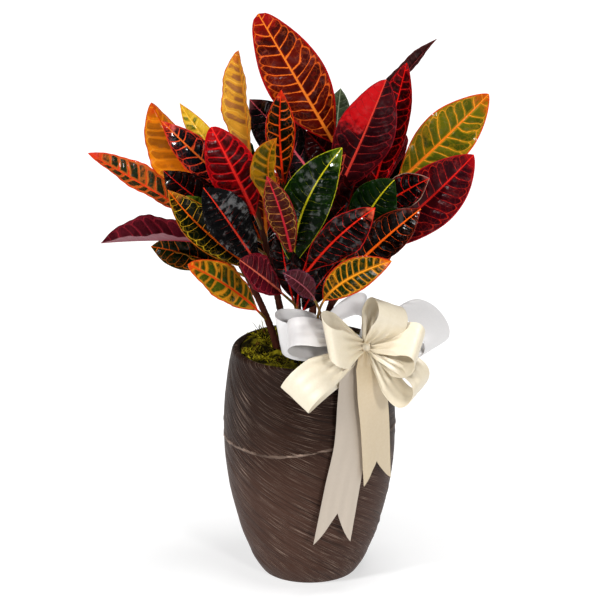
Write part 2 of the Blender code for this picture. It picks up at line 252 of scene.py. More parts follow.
def paint(code):
    """Blender's colour for a six-digit web colour."""
    shares = [int(code[k : k + 2], 16) / 255 for k in (0, 2, 4)]
    return (*[s / 12.92 if s <= 0.04045 else ((s + 0.055) / 1.055) ** 2.4 for s in shares], 1)


print("a web grey of 808080 has", round(paint("808080")[0], 3), "of the light of white")

# %% [markdown]
# ## The floor
#
# The plant stands on white studio paper that fades into the background, with only a soft
# shadow round the foot. A lit white floor would glare in every waxy leaf, so this one is a mid
# grey that glows a little by itself: its shadow stays soft and its edge is never seen.

# %% Floor
FLOOR_HALF = 12
FLOOR_GLOW = 0.58

floor_finish = Finish("paper floor", Base_Color=(0.5, 0.5, 0.5, 1), Roughness=0.9)
floor_finish.shader.inputs["Emission Color"].default_value = (1, 1, 1, 1)
floor_finish.shader.inputs["Emission Strength"].default_value = FLOOR_GLOW
bm = bmesh.new()
bmesh.ops.create_grid(bm, x_segments=1, y_segments=1, size=FLOOR_HALF)
floor_mesh = bpy.data.meshes.new("floor")
bm.to_mesh(floor_mesh)
bm.free()
floor_mesh.materials.append(floor_finish.material)
floor = bpy.data.objects.new("floor", floor_mesh)
bpy.context.collection.objects.link(floor)
print("floor", 2 * FLOOR_HALF, "m across")

# %% [markdown]
# ## Two helpers for every piece
#
# `grid` adds a sheet of squares to a bmesh and puts each corner where a formula says. Most
# living and woven things here are such sheets: a blade, a ribbon and, rolled round, a stalk.
# `finished` turns a bmesh in millimetres into an object at the origin, makes it ride on the
# part's one body and hides the solid that it stands for.


# %% grid and finished
def grid(bm, rows, columns, place):
    """Add a grid; place(along, across), both from 0 to 1, gives its corners. Returns them all."""
    made = bmesh.ops.create_grid(bm, x_segments=columns, y_segments=rows, size=0.5)["verts"]
    spots = []
    for vert in made:
        along = round((vert.co.y + 0.5) * rows) / rows
        across = round((vert.co.x + 0.5) * columns) / columns
        spots.append((vert, along, across))
    for vert, along, across in spots:
        vert.co = place(along, across)
    return spots


def rolled(bm, rows, columns, place, ends=True):
    """A grid whose two long sides meet, with its ends closed."""
    verts = [spot[0] for spot in grid(bm, rows, columns, place)]
    faces = {face for vert in verts for face in vert.link_faces}
    bmesh.ops.remove_doubles(bm, verts=verts, dist=1e-4)
    if ends:
        rims = {edge for face in faces if face.is_valid for edge in face.edges if edge.is_boundary}
        bmesh.ops.holes_fill(bm, edges=list(rims), sides=0)


def finished(bm, name, looks, node, sharp=50):
    """An object at the origin, in metres, that rides on the root body and hides a node's solid."""
    bmesh.ops.scale(bm, vec=(MM, MM, MM), verts=bm.verts)
    bmesh.ops.recalc_face_normals(bm, faces=bm.faces)
    mesh = bpy.data.meshes.new(name)
    bm.to_mesh(mesh)
    bm.free()
    for look in looks:
        mesh.materials.append(look.material)
    mesh.shade_smooth()
    mesh.set_sharp_from_angle(angle=radians(sharp))
    piece = bpy.data.objects.new(name, mesh)
    bpy.context.collection.objects.link(piece)
    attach(piece, "root")
    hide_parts(node)
    return piece


# %% [markdown]
# ## Where the plant grows
#
# Five woody stems fan out of the soil. A stem is a curve with a foot, an elbow and a growing
# tip. The same numbers shaped the solids, so leaf and solid stay together.

# %% Stems as curves
STEMS = {
    "left": ((-30, -12, 240), (-42, -16, 330), (-122, 0, 440)),
    "left_centre": ((-20, 8, 240), (-38, 6, 350), (-72, 10, 480)),
    "centre": ((-12, -14, 240), (-10, -26, 370), (-34, -6, 490)),
    "back": ((0, 14, 240), (4, 26, 380), (34, 20, 510)),
    "right": ((10, -6, 240), (14, -14, 350), (96, 5, 470)),
}


def along(points, share):
    """The place and direction at a share of the curve through foot, elbow and tip."""
    foot, elbow, tip = (Vector(point) for point in points)
    first = foot.lerp(elbow, share)
    second = elbow.lerp(tip, share)
    return first.lerp(second, share), (second - first).normalized()


print("stem tips at", [STEMS[name][2] for name in STEMS])

# %% [markdown]
# ## The leaves
#
# Every leaf of this croton is coloured in its own way, so each has its own line: where it
# starts on its stem, how its midrib runs, half of its width, which way its upper side looks,
# how far its halves fold up, the stalk's share, and the name of its colours. Scattering leaves
# by chance would be quicker, but the front ones have to lie where the picture shows them.

# %% One line for each front leaf
Leaf = namedtuple("Leaf", "stem at elbow tip half face fold petiole colours blunt", defaults=[0.95])
LEAVES = [
    Leaf("left", 0.36, (-82, -62, 365), (-137, -80, 397), 22, (0, -0.75, 0.65), 10, 0.16, "autumn", 0.65),
    Leaf("left", 0.80, (-166, -15, 413), (-237, -30, 407), 28, (0, -0.25, 0.97), 42, 0.12, "plum"),
    Leaf("left", 0.62, (-137, 22, 380), (-183, 30, 384), 19, (0, -0.9, 0.2), 10, 0.20, "forest"),
    Leaf("left", 0.88, (-175, -20, 465), (-250, -30, 513), 21, (0, -0.6, 0.8), 30, 0.12, "slate", 0.8),
    Leaf("left", 0.97, (-144, 22, 482), (-181, 40, 553), 32, (-0.65, -1, 0.1), 28, 0.10, "amber", 0.7),
    Leaf("left_centre", 0.84, (-115, -5, 489), (-168, -5, 544), 20, (-0.3, -1, 0.4), 8, 0.10, "coral"),
    Leaf("left_centre", 0.66, (-124, -42, 456), (-165, -35, 494), 23, (0, -1, 0.4), 12, 0.14, "ember"),
    Leaf("left_centre", 0.47, (-118, -72, 423), (-159, -72, 482), 22, (0.3, -1, 0.2), 22, 0.16, "net"),
    Leaf("left_centre", 0.60, (-99, -58, 437), (-139, -58, 471), 11, (0, -1, 0.4), 10, 0.50, "olive"),
    Leaf("left_centre", 0.72, (-79, -45, 484), (-111, -35, 545), 28, (0, -1, 0.2), 8, 0.16, "crimson", 0.6),
    Leaf("left_centre", 0.40, (-89, -88, 450), (-119, -80, 487), 27, (-0.15, -0.93, 0.85), 14, 0.20, "jet"),
    Leaf("left_centre", 0.88, (-72, 22, 548), (-81, 30, 617), 27, (-1, -1, 0.1), 36, 0.10, "honey", 0.65),
    Leaf("left_centre", 0.95, (-115, 55, 491), (-150, 90, 539), 13, (0, -1, 0.2), 12, 0.10, "lemon"),
    Leaf("centre", 0.34, (-50, -95, 386), (-78, -115, 413), 22, (0.1, -0.8, 0.6), 12, 0.24, "berry", 0.7),
    Leaf("centre", 0.50, (-26, -94, 454), (-48, -96, 505), 17, (-0.1, -1, 0.2), 16, 0.16, "rust"),
    Leaf("centre", 0.44, (-31, -85, 454), (36, -68, 530), 29, (-0.1, -1, 0.3), 10, 0.14, "green", 0.8),
    Leaf("centre", 0.84, (-38, -8, 528), (-32, -12, 582), 19, (0.1, -1, 0.2), 26, 0.10, "tiger"),
    Leaf("centre", 0.70, (-63, -45, 495), (-37, -38, 533), 20, (-0.6, -1, 0.2), 34, 0.14, "lime"),
    Leaf("centre", 0.22, (-24, -48, 391), (40, -48, 457), 20, (0, -1, 0.4), 20, 0.20, "ember"),
    Leaf("centre", 0.44, (22, -108, 437), (73, -95, 468), 26, (0.25, -0.95, 0.1), 20, 0.14, "flame"),
    Leaf("back", 0.97, (-6, 10, 573), (-58, 0, 667), 36, (0.05, -1, 0.1), 10, 0.06, "crown", 0.5),
    Leaf("back", 0.66, (54, -5, 503), (86, -12, 594), 34, (0.1, -1, 0.2), 12, 0.20, "wine", 0.65),
    Leaf("back", 0.85, (94, 50, 572), (145, 60, 623), 13, (-0.5, -0.8, 0.6), 44, 0.10, "sickle"),
    Leaf("back", 0.90, (19, 30, 499), (-4, 34, 521), 19, (0, -1, 0.3), 10, 0.10, "maroon"),
    Leaf("back", 0.92, (31, 80, 521), (36, 100, 554), 15, (0, -1, 0.2), 10, 0.10, "sage"),
    Leaf("back", 0.86, (56, 75, 517), (69, 80, 557), 15, (0, -1, 0.2), 10, 0.10, "sage"),
    Leaf("back", 0.76, (-28, 50, 511), (-69, 62, 551), 28, (-0.2, -0.95, 0.4), 10, 0.10, "charcoal"),
    Leaf("back", 0.60, (34, -28, 490), (40, -32, 512), 13, (-1, -0.3, 0.1), 20, 0.20, "rim"),
    Leaf("right", 0.74, (91, 22, 521), (110, 20, 605), 23, (-0.2, -1, 0.1), 24, 0.12, "scarlet", 0.75),
    Leaf("right", 0.56, (131, -22, 446), (185, -30, 511), 34, (0, -1, 0.3), 12, 0.14, "ruby", 0.75),
    Leaf("right", 0.50, (78, -66, 421), (125, -62, 457), 23, (0, -1, 0.4), 16, 0.16, "marigold"),
    Leaf("right", 0.86, (102, -28, 466), (135, -42, 487), 20, (0, -1, 0.4), 16, 0.14, "ink"),
    Leaf("right", 0.95, (143, 25, 501), (204, 30, 566), 31, (0, -1, 0.2), 8, 0.10, "mustard", 0.75),
    Leaf("right", 0.66, (63, -56, 457), (95, -56, 489), 26, (0, -1, 0.3), 10, 0.14, "moss green", 0.8),
    Leaf("right", 0.20, (-12, -132, 385), (92, -86, 403), 20, (0, -0.9, 0.5), 14, 0.42, "hem", 0.8),
    Leaf("right", 0.22, (18, -132, 379), (-30, -108, 396), 15, (0.1, -0.8, 0.6), 26, 0.50, "purple"),
]
print(len(LEAVES), "leaves in front")

# %% [markdown]
# ## The leaves behind
#
# Nothing shows how the leaves behind lie, so a rule is enough for them: each arches away from
# the middle, by a bearing in degrees, a reach and a rise. Four small dark ones fill the gaps
# between the stems, where the inside of the plant is nearly black.

# %% The leaves behind
Spray = namedtuple("Spray", "stem at bearing reach rise half colours")
SPRAYS = [
    Spray("left", 0.50, 160, 105, 45, 20, "net"),
    Spray("left", 0.72, 130, 100, 75, 21, "ruby"),
    Spray("left", 0.86, 100, 95, 60, 21, "green"),
    Spray("left_centre", 0.40, 110, 120, 70, 22, "marigold"),
    Spray("left_centre", 0.62, 95, 120, 70, 22, "crown"),
    Spray("left_centre", 0.78, 120, 90, 80, 21, "moss green"),
    Spray("left_centre", 0.97, 130, 75, 30, 18, "ember"),
    Spray("centre", 0.95, 80, 55, 75, 18, "maroon"),
    Spray("back", 0.30, 70, 120, 40, 22, "mustard"),
    Spray("back", 0.44, 100, 125, 75, 23, "tiger"),
    Spray("back", 0.56, 60, 120, 80, 23, "crimson"),
    Spray("back", 0.70, 85, 105, 75, 22, "green"),
    Spray("back", 0.80, 45, 95, 70, 20, "coral"),
    Spray("right", 0.36, 50, 115, 40, 21, "autumn"),
    Spray("right", 0.52, 35, 100, 55, 21, "net"),
    Spray("right", 0.62, 65, 115, 70, 22, "scarlet"),
    Spray("right", 0.78, 40, 100, 70, 21, "moss green"),
    Spray("right", 0.90, 75, 90, 60, 20, "wine"),
]


def leaf_of(spray):
    """The leaf that a bearing, a reach and a rise stand for."""
    root, _ = along(STEMS[spray.stem], spray.at)
    bearing = radians(spray.bearing)
    out = Vector((cos(bearing), sin(bearing), 0))
    elbow = root + out * spray.reach * 0.45 + Vector((0, 0, spray.rise * 0.95))
    tip = root + out * spray.reach + Vector((0, 0, spray.rise))
    face = out * -0.55 + Vector((0, 0, 0.85))
    return Leaf(spray.stem, spray.at, elbow, tip, spray.half, face, 14, 0.14, spray.colours)


LEAVES += [leaf_of(spray) for spray in SPRAYS]
LEAVES += [
    Leaf("centre", 0.30, (-30, -38, 372), (-33, -46, 432), 16, (0, -1, 0.3), 12, 0.2, "ember"),
    Leaf("centre", 0.26, (-2, -38, 350), (34, -44, 392), 16, (0, -1, 0.3), 12, 0.2, "ember"),
    Leaf("back", 0.50, (-16, 0, 443), (-26, 5, 495), 17, (0, -1, 0.4), 12, 0.2, "charcoal"),
    Leaf("right", 0.34, (34, 4, 430), (66, 12, 505), 19, (0, -1, 0.3), 12, 0.2, "maroon"),
]
print(len(LEAVES), "leaves in all")

# %% [markdown]
# ## Colours of a leaf
#
# A croton leaf is drawn by its veins. Side veins leave the midrib every 12 mm or so, run
# outwards and a little forwards, and loop into the next one before the margin. Between two
# veins lies an island of a darker or greener colour, and the ground colour shows round it.
# Each kind is a line of eight colours and a few measures, which one function can paint.
# `shore` is how far from a vein an island starts, as a share of the spacing, so a large number
# leaves small islands, `gloss` is how strong the wax is, `lean` lets the tip's colour run down
# one half of the blade, and `loops` is how clearly the veins' loops show.

# %% The kinds of leaf
Kind = namedtuple(
    "Kind",
    "cell patch ground vein rib edge tip under vein_width rib_width edge_width shore gloss lean loops",
    defaults=[0.12, 0, 0.7],
)


def kind_of(line):
    """A kind of leaf from its line: eight web colours, then its measures."""
    words = line.split()
    return Kind(*words[:8], *[float(word) for word in words[8:]])


KIND_LINES = {
    "autumn": "1c340c 3c4a10 b87818 d08c1c e33c12 cf3c12 d93c10 8e883c 0.07 1.5 1.3 0.15 0.12",
    "plum": "3c0d15 521420 601824 8a202d a52334 4f0d16 400b12 8a575f 0.045 1.0 1.0 0.1 0.2",
    "forest": "081204 0f1b06 202307 bc5b0f cf4f0f 45360b 282a08 57572a 0.045 1.1 0.8 0.07",
    "slate": "222d1c 192512 bc6523 db3c1c e5451c cf2d12 d92d1b c66343 0.07 1.5 1.5 0.15 0.4",
    "amber": "b35f0b 97530f cf720f d98816 d94f0f aa230d bc3c0f b36820 0.05 1.4 1.4 0.16",
    "coral": "06080b 0c1015 100d0c e33e26 ec6c26 d9341b e33623 572820 0.10 1.9 1.2 0.07 0.7",
    "ember": "050202 0b0403 0b0303 76160b bc160d 1c0704 0d0403 3c201b 0.02 1.1 0.7 0.03 0.4 0 0.15",
    "net": "060b04 0c1206 121603 c8a020 e35f10 bc6510 a55b10 434219 0.05 1.7 0.9 0.06",
    "olive": "455710 34470d 556519 79882a 8e9731 576516 576516 657031 0.03 0.9 0.5 0.08",
    "crimson": "2a0203 430306 7d060b c60d13 e72620 aa0b10 a0080d 682323 0.08 2.2 1.5 0.12 0.12",
    "jet": "060607 0a0a0b 080809 231010 dd341e 160909 0a0a0c 433c34 0.02 1.6 0.5 0.03 1 0 0",
    "honey": "844b2c a16734 d0922c e6b243 dd8825 b22c16 c3611a a17334 0.06 1.3 1.1 0.2",
    "lemon": "435313 636316 cca329 ddbb3f e6b234 c36b18 c38818 a19247 0.05 1.2 0.9 0.24",
    "berry": "38060f 4b0b18 5b0d19 a02a34 d9684f 680b16 4f0b13 703438 0.03 1.6 1.0 0.08",
    "rust": "320d0a 40120d 501611 c28839 c22735 88181e 9b1e27 582b21 0.035 1.6 1.0 0.08",
    "green": "030f02 061803 071b02 2e480a bdb31b 9b9b18 40580a 324c1b 0.016 1.7 0.8 0.04 0.6 0 0.25",
    "tiger": "040602 0c0f03 2e1502 e06012 e03211 c2230d cc2b0e 3d300f 0.09 1.6 1.3 0.12",
    "lime": "263006 443c06 8a600a a87414 c87018 b85010 a8580f 848438 0.07 1.3 0.9 0.2",
    "flame": "030202 090302 0c0302 cf1010 ec2d19 aa1310 e36343 4f201c 0.022 1.9 1.0 0.05 0.4 0 0.1",
    "crown": "340502 560b03 6a0e04 e05e18 f38127 a4080c 9b080a 5c211b 0.075 2.0 2.0 0.11",
    "wine": "1f0509 32090e 3f0a10 84131a dd3f30 84101a d41016 5f2c30 0.03 1.8 1.0 0.07 0.15 -0.33",
    "sickle": "2a1313 381b19 361816 4f2628 793131 57201e 40201c 57433c 0.03 1.2 0.8 0.08",
    "maroon": "130202 200304 2d0708 570908 79100d 2a0404 1c0303 472623 0.03 1.4 0.8 0.08",
    "sage": "2d3524 404a35 37402d 717a60 7f886d 404a32 404a32 606950 0.025 1.2 0.6 0.06",
    "charcoal": "090909 121012 130d0d 793840 d95b68 381c20 632a2d 383131 0.03 1.6 0.8 0.05 1 0 0.3",
    "rim": "060202 0c0403 130907 a02010 d94b2a cf4b38 aa3826 43261c 0.022 1.3 1.4 0.05 0.3",
    "scarlet": "1c0102 310204 570408 e31613 d91912 970910 81080f 572020 0.05 1.5 1.0 0.11",
    "ruby": "24040a 38070c 4a0810 b82114 d61f18 a40c15 910711 652732 0.026 1.9 1.3 0.09",
    "marigold": "030202 080604 0d0502 d94710 ec6110 791c0d 4f130b 402616 0.03 1.9 0.8 0.04 0.3 0 0.15",
    "ink": "030203 0b0708 0d0404 c6130d cf2010 a07968 79312a 382d34 0.045 1.4 0.8 0.05 0.35 0 0.3",
    "mustard": "3c440a 58580e 866c0f de8c20 eb7a18 cc300d b8440c 716921 0.05 2.0 1.4 0.12",
    "moss green": "041103 071b05 061b02 24400a c2b31b 1e350c 122706 2e481b 0.016 1.5 0.7 0.04 0.45 0 0.25",
    "hem": "0b1c06 122607 8e5b0f d98a19 e38e1c b31c10 cf5f10 435320 0.06 1.6 1.4 0.13",
    "purple": "341418 40181e 4a1e22 6c3440 9c5058 3c132d 2a0c1c 4b3843 0.03 1.2 0.7 0.08",
}
KINDS = {name: kind_of(line) for name, line in KIND_LINES.items()}
print(len(KINDS), "kinds of leaf")

# %% [markdown]
# ## Painting a leaf
#
# A picture wrapped on each blade could do this, but veins that are worked out stay sharp and
# fit every shape of leaf. The blade's mesh carries two things for that: a UV map whose u counts
# the side veins and whose v runs from midrib to margin, and an attribute with the share of the
# length and the distances to midrib and margin in millimetres. The right half counts on from
# `RIGHT_HALF`, so that the material can tell the halves apart.
#
# The wax is a coat whose weight comes and goes in soft patches. Under it the blade has almost
# no shine of its own, because an even shine would mirror the pale floor and lift the blacks.

# %% The finish of a leaf
RIGHT_HALF = 40


def leaf_finish(name, kind):
    """The look of one kind of leaf."""
    look = Finish(name, Specular_IOR_Level=0.04, Coat_IOR=1.9, Coat_Roughness=0.12)
    veins, across, _ = look.split(look.node("UVMap", {"uv_map": "veins"}))
    share, from_rib, from_edge = look.split(look.attribute("leaf", out=1))
    under = look.attribute("under")

    grain = look.noise(look.place(), 300, 3) - 0.5
    blot = look.noise(look.place(), 90, 3, 0.6) - 0.5
    each = look.node("TexWhiteNoise", {"noise_dimensions": "1D"}, {"W": veins.floor()}) - 0.5
    veins = veins + blot * 0.22
    from_vein = abs((veins + 0.5).fraction() - 0.5)
    ragged = from_vein + grain * 0.08
    thin, thick = kind.vein_width * 0.4, kind.vein_width * 1.1
    lateral = 1 - look.step(ragged / (1.3 - across * 0.9 + blot * 0.8), thin, thick)
    lateral = lateral * (1 - look.step(across, 0.78, 0.9))
    loop_at = (veins.fraction() * pi).sine() * 0.15 + 0.74
    loop = 1 - look.step(abs(across + grain * 0.05 - loop_at), 0.01, 0.02 + kind.vein_width * 0.35)
    mesh = look.node("TexVoronoi", {"feature": "DISTANCE_TO_EDGE"}, {"Vector": look.place(), "Scale": 170})
    fine = (1 - look.step(mesh, 0.0, 0.09)) * look.step(across + blot, 0.2, 0.6)
    net = lateral.most(loop * kind.loops).most(fine * 0.2 * kind.loops)
    rib = 1 - look.step(from_rib / (1.25 - share * 0.85), kind.rib_width * 0.55, kind.rib_width)
    edge = 1 - look.step(from_edge + grain * 2, kind.edge_width * 0.5, kind.edge_width * 1.4)
    island = look.step(from_vein + blot * 0.25 + grain * 0.1, kind.shore - 0.05, kind.shore + 0.09)
    island = island * (1 - look.step(across + blot * 0.4, 0.78, 0.94))
    island = island * look.step(blot + each * 0.4, kind.shore * 2.2 - 0.62, kind.shore * 2.2 - 0.4)
    island = island * look.step(from_rib / kind.rib_width + blot, 0.9, 1.7)
    half = look.step(veins, RIGHT_HALF - 10, RIGHT_HALF - 9) * 2 - 1
    tip = look.step(share + blot * 0.35 + half * kind.lean, 0.85, 0.97)
    near_rib = look.mix(0.5, kind.rib, kind.vein)
    line = look.mix(look.step(across, 0.0, 0.7), near_rib, kind.vein)

    cell = look.mix(look.step(each + blot * 1.2, -0.3, 0.3), kind.cell, kind.patch)
    colour = look.mix(island, kind.ground, cell)
    colour = look.mix(tip * 0.8, colour, kind.tip)
    colour = look.mix(net, colour, line)
    colour = look.mix(edge * 0.9, colour, kind.edge)
    colour = look.mix(rib, colour, kind.rib)
    below = look.mix(net.most(rib) * 0.5, kind.under, kind.vein)
    colour = look.mix(under, colour, below)
    stalk = look.mix(blot + 0.5, "6c6c20", "843c20")
    look.colour(look.mix(look.step(share, -0.05, 0.02), stalk, colour))
    look.roughness(under * 0.25 + 0.2 + blot * 0.15)
    look.coat(look.step(blot + grain * 0.15, 0.0, 0.18) * (1 - under) * kind.gloss)
    height = blot * 0.8 + grain * 0.25 - net * 0.35 - rib * 0.2
    look.bump(height, 0.5 + kind.gloss * 0.4, 1.1 + kind.gloss * 1.5)
    return look


LEAF_LOOKS = {name: leaf_finish(f"{name} leaf", kind) for name, kind in KINDS.items()}
print(len(LEAF_LOOKS), "leaf finishes")

# %% [markdown]
# ## The outline of a leaf
#
# Two things settle a blade's outline: the midrib, an arch from the stem to the tip, and the
# width at each share of it, an oval whose tip is pointed or blunt. Formulas for both serve all
# leaves, where a drawn outline would be needed for each.


# %% Midrib and width
def leaf_frame(leaf, share):
    """Place, sideways and upward directions on the leaf's midrib."""
    root, _ = along(STEMS[leaf.stem], leaf.at)
    place, heading = along((root, leaf.elbow, leaf.tip), share)
    up = Vector(leaf.face)
    up = (up - up.dot(heading) * heading).normalized()
    return place, heading.cross(up), up


def blade_half(leaf, blade):
    """Half of the blade's width at a share of the blade: an oval with a pointed or blunt tip."""
    blade = min(1, max(0, blade))
    return leaf.half * max(0, sin(pi * blade**1.15)) ** (0.8 + (leaf.blunt - 0.8) * blade**4)


print("the first leaf is", round(2 * blade_half(LEAVES[0], 0.5)), "mm wide at its middle")

# %% [markdown]
# ## The shape of a leaf
#
# The blade is a fine grid along the midrib, closed below by a copy of itself. It folds up from
# the midrib, its margins wave, and it is quilted: each cell between two veins stands up a
# little and the veins lie in the valleys. The stalk is a round bar that runs on under the blade
# as the midrib, as it does on the plant, and starts inside the stem.

# %% Leaf meshes
LEAF_ROWS = 72
LEAF_COLUMNS = 24
BLADE_THICK = 0.7
VEIN_SPACING = 12.5
VEIN_WANDER = 17
BAR_ROWS = 40
BAR_SIDES = 8
BAR_END = 0.98
FAR_FROM_MARGIN = 30


def leaf_piece(number, leaf):
    """One leaf: blade, midrib and stalk in one mesh."""
    root, _ = along(STEMS[leaf.stem], leaf.at)
    length = (Vector(leaf.elbow) - root).length + (Vector(leaf.tip) - Vector(leaf.elbow)).length
    blade_long = length * (1 - leaf.petiole)
    count = blade_long / VEIN_SPACING
    shift = random.Random(number).uniform(0, 1)

    def veins_at(blade, side, half):
        """How many side veins lie before this point, on its own side of the midrib."""
        out = abs(side) * half / blade_long
        start = blade - out * (0.42 + 0.25 * abs(side))
        spot = Vector((blade * blade_long / VEIN_WANDER, side * half / VEIN_WANDER, number))
        beat = Vector((start * count * 0.7, number, 5 if side > 0 else 0))
        uneven = 0.3 * noise.noise(spot) + 0.35 * noise.noise(beat)
        return start * count + shift + (0.45 + RIGHT_HALF if side > 0 else 0) + uneven

    def surface(blade, side):
        """A point of the upper skin: blade runs along it, side from -1 to 1 across it."""
        share = leaf.petiole + (1 - leaf.petiole) * blade
        place, across, up = leaf_frame(leaf, share)
        half = max(0.3, blade_half(leaf, blade))
        fold = radians(leaf.fold)
        reach = abs(side)
        wave = sin(tau * 3.5 * share + (0 if side > 0 else 2))
        ripple = sin(tau * count * 1.02 * blade + number + (1.5 if side > 0 else 0))
        full = half / leaf.half
        lift = half * sin(fold) * (reach - 0.1 * exp(-12 * reach))
        lift += full * (1.8 * wave * reach**1.5 + 0.5 * ripple * reach**3)
        quilt = 0.5 - 0.5 * cos(tau * veins_at(blade, side, half))
        lift += 1.5 * full * quilt * min(1, reach * 5) * (1 - reach**4)
        return place + across * side * half * cos(fold) + up * lift

    bm = bmesh.new()
    floats = bm.verts.layers.float
    names = ("blade", "side", "count", "under")
    blade_at, side_at, count_at, under_at = [floats.new(name) for name in names]
    facts = bm.verts.layers.float_vector.new("leaf")
    counts = bm.loops.layers.uv.new("veins")
    for vert, blade, across in grid(bm, LEAF_ROWS, LEAF_COLUMNS, lambda b, a: surface(b, 2 * a - 1)):
        vert[blade_at], vert[side_at] = blade, 2 * across - 1
        vert[count_at] = veins_at(blade, 2 * across - 1, max(0.3, blade_half(leaf, blade)))
    grown = bmesh.ops.extrude_face_region(bm, geom=bm.faces[:])["geom"]
    for vert in grown:
        if isinstance(vert, bmesh.types.BMVert):
            _, _, up = leaf_frame(leaf, leaf.petiole + (1 - leaf.petiole) * vert[blade_at])
            vert.co -= up * BLADE_THICK
            vert[under_at] = 1
    for vert in bm.verts:
        half = blade_half(leaf, vert[blade_at])
        reach = abs(vert[side_at])
        vert[facts] = (vert[blade_at], reach * half, (1 - reach) * half)
    for face in bm.faces:
        side = copysign(1, sum(vert[side_at] for vert in face.verts))
        for corner in face.loops:
            number_of, reach = corner.vert[count_at], abs(corner.vert[side_at])
            if reach < 1e-4:
                number_of = veins_at(corner.vert[blade_at], side * 1e-4, 1)
            corner[counts].uv = (number_of, reach)

    def bar(share, round_share):
        """A point of the stalk, which runs on under the blade as its midrib."""
        place, across, up = leaf_frame(leaf, share * BAR_END)
        blade = (share * BAR_END - leaf.petiole) / (1 - leaf.petiole)
        radius = 1.7 - 0.3 * min(1, share / leaf.petiole) - 0.95 * max(0, blade)
        turn = tau * round_share
        sunk = 0.45 + 0.35 * min(1, max(0, blade * 8))
        return place + radius * (across * cos(turn) + up * (sin(turn) - sunk))

    start = len(bm.verts)
    rolled(bm, BAR_ROWS, BAR_SIDES, bar)
    bm.verts.ensure_lookup_table()
    spine = [leaf_frame(leaf, k / BAR_ROWS * BAR_END)[0] for k in range(BAR_ROWS + 1)]
    for vert in bm.verts[start:]:
        nearest = min(range(BAR_ROWS + 1), key=lambda k: (vert.co - spine[k]).length_squared)
        blade = (nearest / BAR_ROWS * BAR_END - leaf.petiole) / (1 - leaf.petiole)
        vert[facts] = (blade, 0, FAR_FROM_MARGIN)
    for layer in names[:3]:
        floats.remove(floats[layer])
    name, node = f"leaf_{number:02d}", f"leafy_stem_{leaf.stem}"
    return finished(bm, name, [LEAF_LOOKS[leaf.colours]], node, 70)


leaf_pieces = [leaf_piece(number, leaf) for number, leaf in enumerate(LEAVES)]
print(len(leaf_pieces), "leaves with", sum(len(p.data.polygons) for p in leaf_pieces), "faces")

# %% [markdown]
# ## The stems
#
# Old croton wood is round, grey-brown and ringed with the scars of fallen leaves; towards the
# tip it is still green. Each stem is a tapering bar with shallow rings.

# %% Stem meshes
STEM_RADIUS = 4.8
STEM_TAPER = 2.2
STEM_ROWS = 120
STEM_SIDES = 14

bark = Finish("bark", Roughness=0.75, Specular_IOR_Level=0.05)
bark_grain = bark.noise(bark.stretched(bark.place(), (1, 1, 0.3)), 380, 4, 0.6)
bark_low = bark.mix(bark_grain, "1e0e0a", "582c20")
bark_height = bark.split(bark.place())[2]
bark.colour(bark.mix(bark.step(bark_height, 0.4, 0.5), bark_low, "40300f"))
bark.bump(bark_grain, 0.6, 0.8)


def stem_piece(name):
    """One stem, from its foot in the soil to its growing tip."""
    points = STEMS[name]

    def skin(share, round_share):
        place, heading = along(points, share)
        turn = tau * round_share
        radius = STEM_RADIUS - STEM_TAPER * share
        radius *= 1 + 0.06 * sin(share * 260) * exp(cos(share * 130)) / 2
        radius += 0.35 * noise.noise(Vector((share * 30, cos(turn) * 2, sin(turn) * 2)))
        side = heading.cross(Vector((0, 1, 0))).normalized()
        return place + radius * (side * cos(turn) + heading.cross(side) * sin(turn))

    bm = bmesh.new()
    rolled(bm, STEM_ROWS, STEM_SIDES, skin)
    return finished(bm, f"stem_{name}", [bark], f"leafy_stem_{name}")


stem_pieces = [stem_piece(name) for name in STEMS]
print(len(stem_pieces), "stems")

# %% [markdown]
# ## The planter
#
# The planter is cast in a dark brown composite, and its outside is combed like a feather:
# from each side a quill runs round the belly, strokes sweep down to it from above and away
# from it below, and a second feather starts where the first one ends. The strokes are real
# relief of about a millimetre. A displacement picture could do that too, but a formula needs
# no picture. A UV map whose u runs across the strokes and v along them lets the material add
# the finer ones.

# %% Planter relief
POT_OUTSIDE = [
    (0.0, 50.0), (1.5, 54.5), (11.0, 61.5), (21.0, 67.3), (31.0, 71.0), (50.0, 78.8),
    (70.0, 84.5), (90.0, 89.7), (109.0, 93.7), (129.0, 96.6), (148.0, 98.6), (168.0, 99.3),
    (188.0, 99.5), (207.0, 98.6), (227.0, 96.6), (247.0, 94.0), (266.0, 90.5), (271.0, 89.0),
    (273.0, 86.5), (273.0, 83.0), (271.0, 80.6),
]
POT_WALL = 8.0
POT_FLOOR = 12.0
BELLY = 97.0
QUILL_HEIGHT = 169
QUILL_RISE = 14


def through(points, share):
    """A place on the smooth curve that passes through every point of a list."""
    last = len(points) - 1
    step = min(int(share * last), last - 1)
    part = share * last - step
    near = [Vector(points[min(max(step + k, 0), last)]) for k in (-1, 0, 1, 2)]
    pull_in = (near[2] - near[0]) / 2
    pull_out = (near[3] - near[1]) / 2
    rest = near[2] - near[1]
    cubic = pull_in + pull_out - 2 * rest
    square = 3 * rest - 2 * pull_in - pull_out
    return near[1] + part * (pull_in + part * (square + part * cubic))


def smooth(value, low, high):
    """0 below low, 1 above high, and smooth between."""
    share = min(1, max(0, (value - low) / (high - low)))
    return share * share * (3 - 2 * share)


def comb(angle, height):
    """Across and along the strokes, and the distance above the quill, all in millimetres."""
    run = BELLY * ((angle + pi / 2) % pi)
    quill = QUILL_HEIGHT + QUILL_RISE * smooth(run, 95, 205)
    if height > quill:
        return height - 120 * exp(-run / 100), run, height - quill
    return height + 0.5 * run - 14 * exp(-run / 60), run, height - quill


